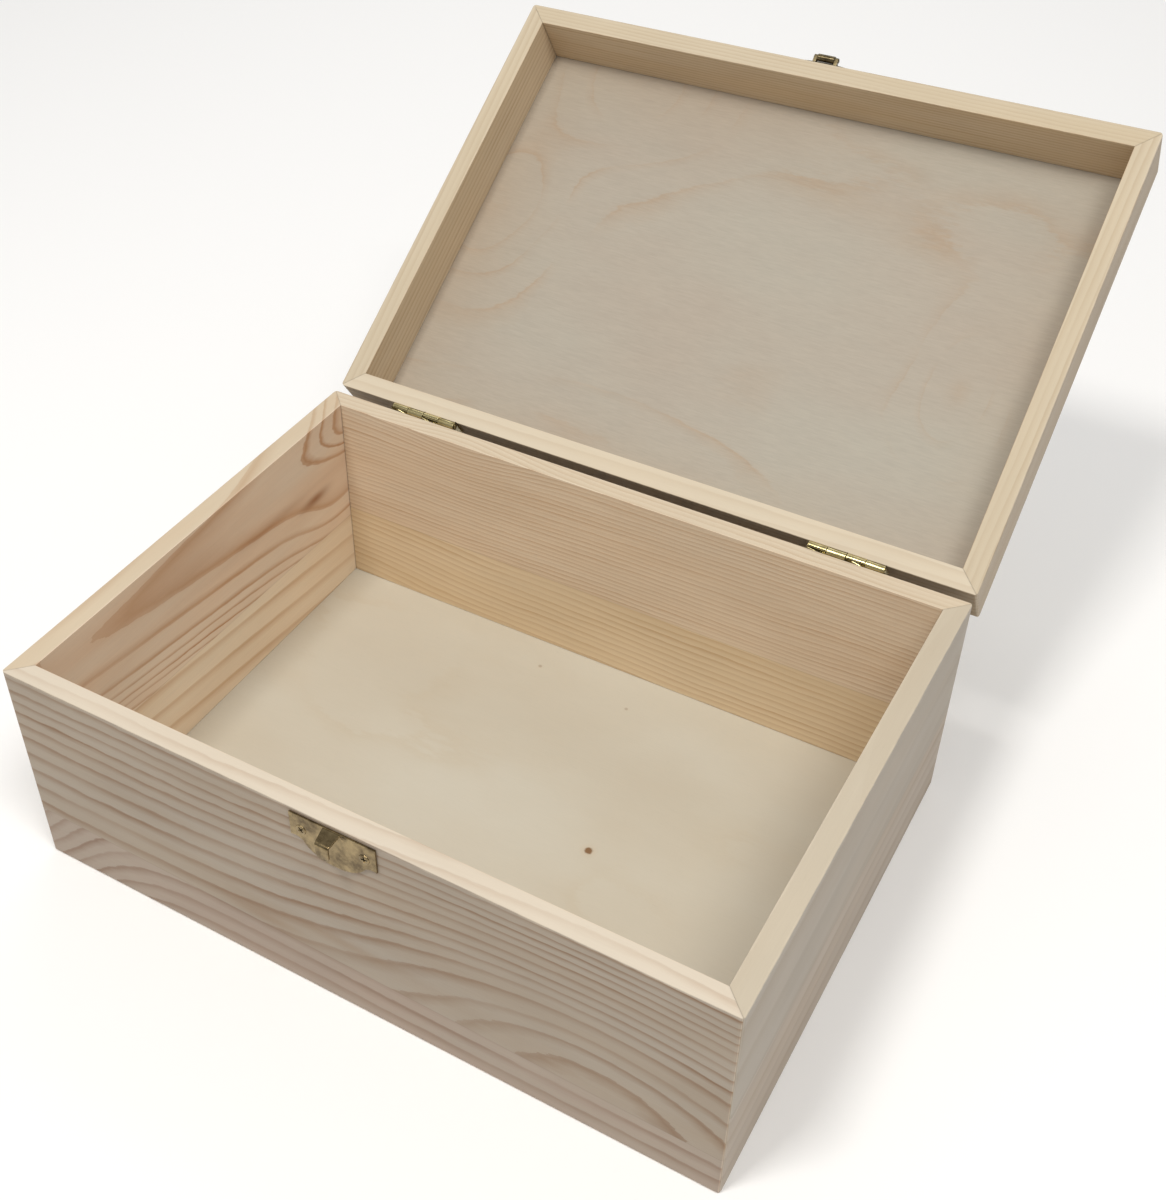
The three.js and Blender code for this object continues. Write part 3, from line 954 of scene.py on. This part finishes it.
def soften(bm: Drawing, offset: float, least: float = 50.0) -> None:
    """Takes the sharpness off a solid's edges.

    Args:
        bm: The solid.
        offset: How far the rounding reaches.
        least: The angle from which an edge counts as sharp, in degrees.
    """
    sharp = [edge for edge in bm.edges
             if len(edge.link_faces) == 2 and edge.calc_face_angle(0) > math.radians(least)]
    bevel(bm, sharp, offset, 2, "EDGES", True)


@dataclass
class Screws:
    """Countersunk cross-head screws on one face of the box."""

    seat: Seat
    finish: bpy.types.Material
    slot: str
    back: bool = False
    head: float = 2.1
    shank: float = 1.05
    point: float = 0.15
    arm: float = 1.25
    slit: float = 0.27
    cross_deep: float = 0.62
    dome: float = 0.4
    proud: float = 0.28

    def draw(self, turn: float) -> Drawing:
        """Draws a screw with its head flush at y = 0, pointing to +Y.

        Args:
            turn: How its cross has ended up, in degrees.

        Returns:
            The screw.
        """
        bm = bmesh.new()
        bmesh.ops.create_circle(bm, cap_ends=True, segments=32, radius=self.head - self.dome)
        for reach in (self.slit, self.arm):
            for away in ((1, 0), (-1, 0), (0, 1), (0, -1)):
                side = Vector((*away, 0))
                geometry = bm.verts[:] + bm.edges[:] + bm.faces[:]
                bmesh.ops.bisect_plane(bm, geom=geometry, dist=1e-5, plane_co=side * reach, plane_no=side)
        cross = [face for face in bm.faces if self.in_cross(face.calc_center_median())]
        sunk = bmesh.ops.extrude_face_region(bm, geom=cross)
        low = verts_in(sunk["geom"])
        bmesh.ops.translate(bm, verts=low, vec=(0, 0, -self.cross_deep))
        bmesh.ops.scale(bm, verts=low, vec=(0.82, 0.82, 1))
        bmesh.ops.delete(bm, geom=[face for face in cross if face.is_valid], context="FACES_KEEP_BOUNDARY")
        rings = ((self.head - 0.1, 0.12), (self.head, 0.24), (self.head - 0.05, 0.14),
                 (self.shank, 1.2), (self.shank, 4.6), (self.point, 2.0))
        for radius, drop in rings:
            rim = [edge for edge in bm.edges if edge.is_boundary]
            grown = bmesh.ops.extrude_edge_only(bm, edges=rim)
            ring = verts_in(grown["geom"])
            now = max(vert.co.xy.length for vert in ring)
            bmesh.ops.scale(bm, verts=ring, vec=(radius / now, radius / now, 1))
            bmesh.ops.translate(bm, verts=ring, vec=(0, 0, -drop))
        bmesh.ops.holes_fill(bm, edges=[edge for edge in bm.edges if edge.is_boundary], sides=0)
        swivel(bm, turn, "Z")
        swivel(bm, 90, "X")
        return bm

    def in_cross(self, point: Vector) -> bool:
        """Returns whether a point of the head lies in the driver's cross."""
        across, along = sorted((abs(point.x), abs(point.y)))
        return across < self.slit and along < self.arm

    def drive(self, node: str, middle: float, reach: float, z: float, turns: Point) -> None:
        """Drives two screws side by side.

        Args:
            node: The CAD nodes they stand for, up to _left and _right.
            middle: Halfway between them, across.
            reach: How far each lies from there.
            z: How high they are, with the lid shut.
            turns: How their crosses have ended up, in degrees.
        """
        face = SIZES.depth / 2 + SIZES.sheet + SIZES.sheet_gap + self.proud
        for end, sign, turn in zip(("left", "right"), (-1, 1), turns):
            bm = self.draw(turn)
            if self.back:
                swivel(bm, 180, "Z")
            shift(bm, middle + sign * reach, face if self.back else -face, z)
            place_piece(bm, "brass", f"{node}_{end}", self.seat, self.finish)


@dataclass
class Hinge:
    """A butt hinge on the back: two leaves with rolled knuckles, a headed pin and four screws."""

    side: str
    x: float
    finish: bpy.types.Material
    length: float = 32.6
    knuckles: int = 4
    knuckle_gap: float = 0.3
    leaf: float = 10.0
    barrel: float = 2.1
    pin: float = 0.9
    screw_x: float = 10.0
    screw_z: float = 6.3

    def leaf_outline(self, up: int) -> list[Point]:
        """Draws a leaf flat, its tabs reaching the pin's axis at z = 0.

        Args:
            up: 1 for the lid's leaf, -1 for the body's.

        Returns:
            The outline.
        """
        step, gap, near = self.length / self.knuckles, self.knuckle_gap / 2, up * (self.barrel + 0.35)
        corners: list[Triple] = []
        for index in range(1 if up > 0 else 0, self.knuckles, 2):
            x0 = -self.length / 2 + index * step + gap
            x1 = -self.length / 2 + (index + 1) * step - gap
            corners += [(x0, near, 0.0), (x0, 0.0, 0.0), (x1, 0.0, 0.0), (x1, near, 0.0)]
        if up > 0:
            corners.insert(0, (-self.length / 2, near, 0.0))
        else:
            corners.append((self.length / 2, near, 0.0))
        first, last = corners[0][0], corners[-1][0]
        return round_line([(first, up * self.leaf, 0.9), *corners, (last, up * self.leaf, 0.9)])

    def draw_leaf(self, up: int) -> Drawing:
        """Draws one leaf with its knuckles rolled round the pin.

        Args:
            up: 1 for the lid's leaf, -1 for the body's.

        Returns:
            The leaf.
        """
        holes = [Hole(sign * self.screw_x, up * self.screw_z) for sign in (-1, 1)]
        bm = stamped(self.leaf_outline(up), holes, SIZES.sheet)
        # stamped facing -Y; on the back of the box the face looks to +Y
        bmesh.ops.scale(bm, verts=bm.verts, vec=(1, -1, 1))
        shift(bm, 0, SIZES.sheet + SIZES.sheet_gap, 0)
        face_out(bm)
        for tab in tabs_of(bm):
            spin(bm, [tab], self.barrel + 0.05, -up * 312, 26, False)
        soften(bm, 0.1, 60.0)
        shift(bm, self.x, SIZES.depth / 2, SIZES.axis_z)
        return bm

    def draw_pin(self) -> Drawing:
        """Draws the pin with its domed ends.

        Returns:
            The pin.
        """
        reach = self.length / 2
        bm = lathe([(-reach - 0.25, 0.0), (-reach - 0.2, 0.5), (-reach + 0.05, self.pin), (reach - 0.05, self.pin),
                    (reach + 0.2, 0.5), (reach + 0.25, 0.0)], 24)
        shift(bm, self.x, SIZES.axis_y, SIZES.axis_z)
        return bm

    def build(self) -> None:
        """Makes the hinge's pieces."""
        name = f"hinge_{self.side}"
        for up, half, seat in ((-1, "body", Seat.BOX), (1, "lid", Seat.LID)):
            node = f"{name}_{half}"
            place_piece(self.draw_leaf(up), "brass", f"{node}_leaf", seat, self.finish)
            turns = [17 + 31 * sign * up + self.x * 0.3 for sign in (-1, 1)]
            screws = Screws(seat, self.finish, "brass", True)
            screws.drive(f"{node}_screw", self.x, self.screw_x, SIZES.axis_z + up * self.screw_z, turns)
        place_piece(self.draw_pin(), "brass", f"{name}_pin", Seat.BOX, self.finish)


def curved_plate(up: int) -> list[Point]:
    """Draws the outline of the catch's plates.

    Args:
        up: 1 with the lobe upwards, -1 with the lobe downwards.

    Returns:
        The outline; its straight edge is at z = 0, or above it where the lid's plate is cut back.
    """
    half, end, lobe = 17.8, 11.4, 18.6
    lobe_x, shoulder = half - 5, end + 1
    spans = [((-half, end), (-half + 3, end - 1), (-lobe_x, shoulder)),
             ((-lobe_x, shoulder), (-lobe_x * 0.7, lobe), (0, lobe)),
             ((0, lobe), (lobe_x * 0.7, lobe), (lobe_x, shoulder)),
             ((lobe_x, shoulder), (half - 3, end - 1), (half, end))]
    edge = 2.3 if up > 0 else 0.0
    points: list[Point] = [(-half, edge)]
    for start, pull, stop in spans:
        for step in range(8):
            t = step / 8
            points.append(tuple(a * (1 - t) ** 2 + 2 * b * t * (1 - t) + c * t * t
                                for a, b, c in zip(start, pull, stop)))
    points += [(half, end), (half, edge)]
    if up > 0:
        points += [(7.0, 0.9), (-7.0, 0.9)]
    return [(x, up * z) for x, z in points]


@dataclass
class CatchHalf:
    """What both halves of the catch have: a lobed plate and two screws."""

    finish: bpy.types.Material
    x: float = 0.5
    screw_x: float = 13.0
    screw_z: float = 8.0

    def plate(self, up: int, off: float) -> Drawing:
        """Draws the plate lying on the front, its straight edge at z = 0.

        Args:
            up: 1 for the lid's plate, -1 for the body's.
            off: How far its edge is from the rim.

        Returns:
            The plate.
        """
        holes = [Hole(sign * self.screw_x, up * (self.screw_z - off)) for sign in (-1, 1)]
        bm = stamped(curved_plate(up), holes, SIZES.sheet)
        soften(bm, 0.2, 50.0)
        shift(bm, 0, -SIZES.sheet - SIZES.sheet_gap, 0)
        return bm

    def place(self, bm: Drawing, node: str, seat: Seat) -> None:
        """Places one piece of the catch."""
        place_piece(bm, "brass", node, seat, self.finish)

    def screw_on(self, node: str, seat: Seat, rim: float, up: int, turns: Point) -> None:
        """Drives the plate's screws, which stand for the CAD nodes `node`_left and _right."""
        Screws(seat, self.finish, "dull_brass").drive(node, self.x, self.screw_x, rim + up * self.screw_z, turns)


@dataclass
class Catch(CatchHalf):
    """The hook on the box's front: a stamped plate, a bent nose and two screws."""

    below_rim: float = 1.3
    root: float = 7.5
    tip: float = 5.8
    out: float = 6.9
    fall: float = 1.5
    drop: float = 10.3
    bend: float = 1.2
    thick: float = 0.85

    def draw_nose(self) -> Drawing:
        """Draws the nose as a strap bent out and down.

        Returns:
            The nose, its root at y = 0 and the plate's top edge at z = 0.
        """
        bm = bmesh.new()
        half, bend = self.root / 2, self.bend
        edge = bm.edges.new([bm.verts.new((-half, 0.1, -0.1)), bm.verts.new((half, 0.1, -0.1))])
        path = [(-self.out + bend + 0.1, -self.fall + 0.12, self.tip + 0.3)]
        for step in range(1, 6):
            swing = math.radians(18 * step)
            path.append((-self.out + bend - bend * math.sin(swing), -self.fall - bend + bend * math.cos(swing),
                         self.tip))
        low = -self.drop + self.below_rim
        path += [(-self.out, low + 3.0, self.tip - 0.1), (-self.out + 0.15, low, self.tip - 0.2)]
        for y, z, wide in path:
            drawn = bmesh.ops.extrude_edge_only(bm, edges=[edge])
            verts = verts_in(drawn["geom"])
            edge = next(item for item in drawn["geom"] if isinstance(item, bmesh.types.BMEdge)
                        and all(vert in verts for vert in item.verts))
            for vert in verts:
                vert.co = Vector((math.copysign(wide / 2, vert.co.x), y, z))
        bevel(bm, list(edge.verts), 2.5, 6, "VERTICES", True)
        face_out(bm)
        bmesh.ops.solidify(bm, geom=bm.faces[:], thickness=self.thick)
        face_out(bm)
        soften(bm, 0.38, 55.0)
        return bm

    def build(self) -> None:
        """Makes the catch's pieces."""
        bm, nose = self.plate(-1, self.below_rim), self.draw_nose()
        shift(nose, 0, -SIZES.sheet_gap, 0)
        take_in(bm, nose)
        shift(bm, self.x, -SIZES.depth / 2, SIZES.body_high - self.below_rim)
        self.place(bm, "catch_plate", Seat.BOX)
        self.screw_on("catch_screw", Seat.BOX, SIZES.body_high, -1, (38.0, 8.0))


@dataclass
class Hasp(CatchHalf):
    """The lid's half of the catch: a plate with two lugs, a pin and a loop that swings over the hook."""

    barrel: float = 1.7
    barrel_wide: float = 8.0
    wide: float = 11.0
    tip_wide: float = 8.3
    bar: float = 1.5
    length: float = 14.2
    lip: float = 1.2
    lug: float = 1.25
    lug_wide: float = 1.5
    lug_gap: float = 0.2
    above_rim: float = 0.2
    pin: float = 0.7

    def lug_piece(self, x0: float) -> Drawing:
        """Draws one lug of the plate round the pin.

        Args:
            x0: Its left side.

        Returns:
            The lug.
        """
        bm = bmesh.new()
        corner = bmesh.ops.create_circle(bm, cap_ends=False, segments=24, radius=self.lug,
                                         matrix=Matrix.Rotation(math.pi / 2, 4, "Y"))
        back = -SIZES.pivot_y - SIZES.depth / 2 - SIZES.sheet_gap
        for vert in corner["verts"]:
            if vert.co.y > 0.3:
                vert.co.y = back
                vert.co.z = math.copysign(min(abs(vert.co.z), 0.7), vert.co.z)
        bmesh.ops.remove_doubles(bm, verts=bm.verts, dist=0.01)
        bmesh.ops.contextual_create(bm, geom=bm.edges[:])
        draw_out(bm, bm.faces[:], self.lug_wide, 0, 0)
        face_out(bm)
        soften(bm, 0.12, 60.0)
        shift(bm, x0, SIZES.pivot_y, SIZES.pivot_z)
        return bm

    def build(self) -> None:
        """Makes the hasp's pieces."""
        bm = self.plate(1, self.above_rim)
        shift(bm, self.x, -SIZES.depth / 2, SIZES.lid_rim + self.above_rim)
        inner = self.barrel_wide / 2 + self.lug_gap
        for x0 in (self.x - inner - self.lug_wide, self.x + inner):
            take_in(bm, self.lug_piece(x0))
        self.place(bm, "hasp_plate", Seat.LID)
        self.screw_on("hasp_screw", Seat.LID, SIZES.lid_rim, 1, (12.0, 64.0))
        self.build_pin()
        self.build_loop()

    def build_pin(self) -> None:
        """Makes the pin, upset at both ends."""
        reach = self.barrel_wide / 2 + self.lug_gap + self.lug_wide
        bm = lathe([(-reach - 0.3, 0.0), (-reach - 0.25, 0.7), (-reach - 0.02, 0.95), (-reach, self.pin),
                    (reach, self.pin), (reach + 0.02, 0.95), (reach + 0.25, 0.7), (reach + 0.3, 0.0)], 20)
        shift(bm, self.x, SIZES.pivot_y, SIZES.pivot_z)
        self.place(bm, "hasp_pin", Seat.LID)

    def build_loop(self) -> None:
        """Makes the swinging loop, drawn hanging down from the pin."""
        tip, shoulder, half = -self.length, -1.2, self.wide / 2
        neck = self.barrel_wide / 2
        outline = round_line([(-neck, 0.0, 0.0), (neck, 0.0, 0.0), (neck, shoulder, 0.3), (half, shoulder - 0.6, 1.0),
                              (half, tip + 3, 1.5), (self.tip_wide / 2, tip, 0.8), (-self.tip_wide / 2, tip, 0.8),
                              (-half, tip + 3, 1.5), (-half, shoulder - 0.6, 1.0), (-neck, shoulder, 0.3)])
        side, top, end = half - self.bar, shoulder - 0.55, tip + 1.8
        window = round_line([(-side, top, 1.0), (side, top, 1.0), (side, end, 1.2), (-side, end, 1.2)])
        bm = stamped(outline, [], SIZES.sheet, [window])
        shift(bm, 0, -self.barrel, 0)
        spin(bm, tabs_of(bm), 0, -315, 24, False)
        lips = [face for face in bm.faces if face.calc_center_median().z < tip + 0.05 and abs(face.normal.z) > 0.9]
        draw_out(bm, lips, 0, -self.lip, -0.1)
        face_out(bm)
        soften(bm, 0.12, 55.0)
        shift(bm, self.x, SIZES.pivot_y, SIZES.pivot_z)
        self.place(bm, "hasp_loop", Seat.HASP)


# ---------------- the box and its lid


FRONT_UPPER = Figure(
    swells=(Swell(253, 46, 95, 41, 45),), lean=0.9, wander=0.7, ripple=0.62, line=0.85, late_start=0.5,
    ages=((-30.0, -3.6), (-12.0, 0.0), (-6.5, 1.0), (0.5, 2.0), (8.0, 3.0), (20.6, 4.0), (59.0, 8.0), (68.0, 9.0),
          (99.0, 14.0), (125.0, 18.3)), marks=(Swell(112, 29, 17, 3.6, 0.5), Swell(148, 37, 24, 2.6, 0.35)),
    early=srgb(213, 198, 178), warm=srgb(208, 189, 165), late=srgb(172, 138, 106), knot=srgb(184, 150, 116),
    rim=srgb(218, 208, 190), seed=1.0)
FRONT_LOWER = Figure(
    pitch=8.5, swells=(Swell(-25, 12, 52, 90, -58),), lean=0.9, wander=0.8, ripple=0.6, line=0.75, late_start=0.45,
    early=srgb(214, 198, 178), warm=srgb(211, 188, 168), late=srgb(172, 140, 114), seed=2.0)
BACK_UPPER = Figure(
    pitch=2.25, tilt=0.012, datum=9.0, swells=(Swell(70, 103, 34, 24, -5),), wander=1.0, ripple=0.26, line=0.62,
    late_start=0.25,
    early=srgb(228, 211, 187), warm=srgb(222, 201, 174), late=srgb(186, 150, 114), seed=3.0)
BACK_LOWER = Figure(
    pitch=3.4, tilt=-0.01, datum=9.0, swells=(Swell(0, 20, 60, 40, 6),), wander=1.1, ripple=0.3, line=0.52,
    late_start=0.3,
    early=srgb(227, 208, 177), warm=srgb(221, 200, 166), late=srgb(186, 150, 108), seed=4.0)
LEFT_UPPER = Figure(
    tilt=-0.13, datum=9.0, flip=True, wander=0.4, ripple=0.35, line=0.8, late_start=0.62,
    swells=(Swell(130, 112, 95, 20, 38), Swell(195, 53, 25, 18, -10), Swell(214, 90, 20, 12, -5),
            Swell(34, 108, 48, 14, 14)),
    ages=((30.0, -4.6), (48.7, 0.0), (53.0, 1.0), (56.6, 2.0), (61.3, 3.0), (66.5, 4.0), (76.5, 5.0), (87.6, 6.0),
          (103.5, 7.0), (108.0, 8.0), (112.5, 9.0), (125.0, 10.4)),
    marks=(Swell(181, 64, 9, 2.6, 0.8), Swell(150, 71, 34, 2.6, 0.25), Swell(120, 84, 80, 9, 0.1)),
    early=srgb(222, 204, 178), warm=srgb(216, 190, 160), late=srgb(178, 130, 86), seed=5.0)
LEFT_LOWER = Figure(
    pitch=11.8, tilt=-0.1, datum=9.0, wander=0.4, ripple=0.3, line=0.6, late_start=0.6,
    early=srgb(226, 209, 180), warm=srgb(222, 200, 168), late=srgb(188, 148, 104), seed=6.0)
RIGHT_UPPER = Figure(
    pitch=24.0, tilt=0.02, swells=(Swell(150, 118, 60, 26, 14),), wander=1.2, ripple=0.3, line=0.28, late_start=0.3,
    early=srgb(201, 190, 173), warm=srgb(196, 182, 162), late=srgb(168, 146, 122), seed=7.0)
RIGHT_LOWER = Figure(
    pitch=11.0, tilt=0.03, wander=1.0, ripple=0.3, line=0.4, late_start=0.3,
    early=srgb(206, 192, 174), warm=srgb(202, 184, 162), late=srgb(170, 146, 120), seed=8.0)
LID_FAR = Figure(
    pitch=2.0, tilt=0.012, lean=1.1, datum=9.0, wander=0.6, ripple=0.15, line=0.55, late_start=0.3,
    early=srgb(212, 197, 172), warm=srgb(206, 187, 156), late=srgb(172, 142, 106), seed=9.0)
LID_SIDE = Figure(
    pitch=3.0, tilt=0.02, lean=0.9, datum=9.0, wander=0.5, ripple=0.15, line=0.6, late_start=0.3,
    early=srgb(214, 199, 175), warm=srgb(208, 190, 162), late=srgb(176, 148, 114), seed=10.0)
LID_NEAR = Figure(
    pitch=4.2, tilt=0.01, lean=0.8, wander=0.8, ripple=0.2, line=0.5, late_start=0.4,
    early=srgb(214, 200, 176), warm=srgb(210, 192, 164), late=srgb(178, 150, 116), rim=srgb(212, 199, 176),
    seed=11.0)

# The outside tones below are painted shade on the outer faces. The lid's near rail is darkest, as painted shade in
# the gap under the open lid. The inside tones are painted bounce light and shade on the inner walls.
SHADED_OUTSIDE = (0.74, 0.74, 0.77)
UNDER_RIM = (80.0, 80.0)
FRONT_TIMBER = Timber(FRONT_UPPER, FRONT_LOWER, (26.2, 21.0), (0.61, 0.61, 0.62), (1.1, 1.1, 1.1))
RIGHT_TIMBER = Timber(RIGHT_UPPER, RIGHT_LOWER, (46.0, 44.0), (0.76, 0.77, 0.8), (1.05, 1.05, 1.05))
BACK_TIMBER = Timber(BACK_UPPER, BACK_LOWER, (42.5, 44.0), SHADED_OUTSIDE, (1.0, 0.98, 0.955))
LEFT_TIMBER = Timber(LEFT_UPPER, LEFT_LOWER, (42.0, 38.0), SHADED_OUTSIDE, (1.12, 1.12, 1.18))
LID_FAR_TIMBER = Timber(LID_FAR, LID_FAR, UNDER_RIM, SHADED_OUTSIDE, (0.95, 0.9, 0.84))
LID_SIDE_TIMBER = Timber(LID_SIDE, LID_SIDE, UNDER_RIM, SHADED_OUTSIDE, (0.98, 0.94, 0.88))
LID_NEAR_TIMBER = Timber(LID_NEAR, LID_NEAR, UNDER_RIM, (0.6, 0.56, 0.51), (1.0, 1.0, 1.0))

FLOOR_PLY = PlyFinish(
    "floor_plywood", srgb(201, 195, 179), srgb(196, 187, 168), srgb(186, 167, 136),
    contours=3.0, contour_share=0.22, mottle=0.012,
    spots=(Spot(42.8, -1.5, 1.5, 0.95), Spot(-27.8, 83.0, 0.8, 0.35), Spot(19.0, 78.0, 0.7, 0.3),
           Spot(84.0, -40.0, 0.6, 0.25)))
LID_PLY = PlyFinish(
    "lid_plywood", srgb(174, 167, 152), srgb(173, 161, 145), srgb(170, 146, 120),
    contours=3.0, contour_share=0.62, mottle=0.06,
    swells=(Swell(-136, -10, 38, 40, 1.25), Swell(-93, -94, 50, 44, 1.1), Swell(108, 14, 20, 34, 0.9),
            Swell(-60, 92, 130, 30, -0.8)),
    blush=(Swell(-142, 0, 34, 90, 0.4), Swell(-80, -98, 90, 30, 0.25), Swell(143, -20, 30, 80, 0.18),
           Swell(-40, 98, 120, 16, 0.2)))


@dataclass
class Tray:
    """Four mitred boards round a panel: the box itself, or its lid."""

    seat: Seat
    naming: str
    low: float
    high: float
    timbers: tuple[Timber, Timber, Timber, Timber]
    panel: Panel

    def build(self) -> None:
        """Makes the wooden pieces."""
        for side, timber in zip(Side, self.timbers):
            node = self.naming.format(side.name.lower())
            Board(node, self.seat, side, self.low, self.high, timber).build()
        self.panel.build()


BODY = Tray(Seat.BOX, "{}_board", 0.0, SIZES.body_high, (FRONT_TIMBER, RIGHT_TIMBER, BACK_TIMBER, LEFT_TIMBER),
            Panel("bottom_panel", Seat.BOX, 0.0, "floor_ply", FLOOR_PLY))
LID = Tray(Seat.LID, "lid_{}_rail", SIZES.lid_rim, SIZES.lid_top,
           (LID_FAR_TIMBER, LID_SIDE_TIMBER, LID_NEAR_TIMBER, LID_SIDE_TIMBER),
           Panel("lid_panel", Seat.LID, SIZES.lid_top - SIZES.panel, "lid_ply", LID_PLY))


# ---------------- studio


@dataclass
class Studio:
    """A pale floor, soft light from above and the camera."""

    floor: Colour = srgb(250, 249, 247)
    sky: float = 0.41

    def build_floor(self) -> None:
        """Lays the floor."""
        bm = bmesh.new()
        bmesh.ops.create_grid(bm, x_segments=8, y_segments=8, size=6.0)
        bmesh.ops.translate(bm, verts=bm.verts, vec=(0, 0, -0.0002))
        mesh = bpy.data.meshes.new("studio_floor")
        bm.to_mesh(mesh)
        bm.free()
        bench = Bench("studio_paper")
        ground = bench.node("ShaderNodeTexCoord").outputs["Object"]
        tooth = bench.noise((0.004, 0.004, 0.004), 3.0, 0.6, where=ground)
        mesh.materials.append(bench.dress(self.floor, 0.9, tooth, 0.02, Specular_IOR_Level=0.1))
        paper = bpy.data.objects.new("studio_floor", mesh)
        bpy.context.scene.collection.objects.link(paper)

    def light(self, name: str, place: Triple, size: float, watts: float, tone: Colour,
              aim: Triple = (0.0, 0.05, 0.08)) -> None:
        """Hangs one soft square light.

        Args:
            name: The light's name.
            place: Where it hangs, in metres.
            size: The length of its side.
            watts: Its power.
            tone: Its colour.
            aim: The point it looks at; the box if left out.
        """
        lamp = bpy.data.lights.new(name, "AREA")
        lamp.shape = "SQUARE"
        lamp.size = size
        lamp.energy = watts
        lamp.color = tone
        holder = bpy.data.objects.new(name, lamp)
        holder.location = place
        holder.rotation_euler = (Vector(aim) - Vector(place)).to_track_quat("-Z", "Y").to_euler()
        bpy.context.scene.collection.objects.link(holder)

    def build_lights(self) -> None:
        """Hangs the lights and tints the surroundings."""
        world = bpy.data.worlds.new("studio_air")
        world.use_nodes = True
        background = world.node_tree.nodes["Background"]
        background.inputs["Color"].default_value = (0.98, 0.985, 1.0, 1.0)
        background.inputs["Strength"].default_value = self.sky
        bpy.context.scene.world = world
        self.light("over_left", (-0.3, -0.8, 2.0), 0.4, 18.5, (1.0, 0.985, 0.96))
        self.light("backdrop", (-0.55, 1.35, 1.3), 1.2, 5.5, (1.0, 1.0, 1.0), (-0.55, 1.4, 0.0))
        self.light("over_right", (0.8, -0.45, 1.9), 0.6, 15.0, (1.0, 0.99, 0.97))

    def build_camera(self) -> None:
        """Sets the camera up."""
        lens = bpy.data.cameras.new("camera")
        lens.lens = 47.615
        lens.sensor_width = 36.0
        lens.shift_x = 0.06492
        lens.shift_y = -0.03238
        lens.clip_start = 0.01
        lens.clip_end = 50.0
        camera = bpy.data.objects.new("camera", lens)
        camera.location = (0.23297, -0.37643, 0.50725)
        camera.rotation_euler = (0.87578864, 0.01338246, 0.53399631)
        bpy.context.scene.collection.objects.link(camera)
        bpy.context.scene.camera = camera


def main() -> None:
    """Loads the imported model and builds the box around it."""
    logging.basicConfig(level=logging.INFO, format="%(name)s: %(message)s")
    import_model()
    bpy.context.scene.view_settings.view_transform = "Standard"
    studio = Studio()
    studio.build_camera()
    studio.build_floor()
    studio.build_lights()
    BODY.build()
    LID.build()
    # dark is the hasp's brass, darkened as painted shade and painted reflection.
    bright, dull, dark = BRIGHT_BRASS.make(), DULL_BRASS.make(), SHADED_HASP_BRASS.make()
    for side, x in (("left", -103.0), ("right", 97.5)):
        Hinge(side, x, bright).build()
    Catch(dull).build()
    Hasp(dark).build()


if __name__ == "__main__":
    main()
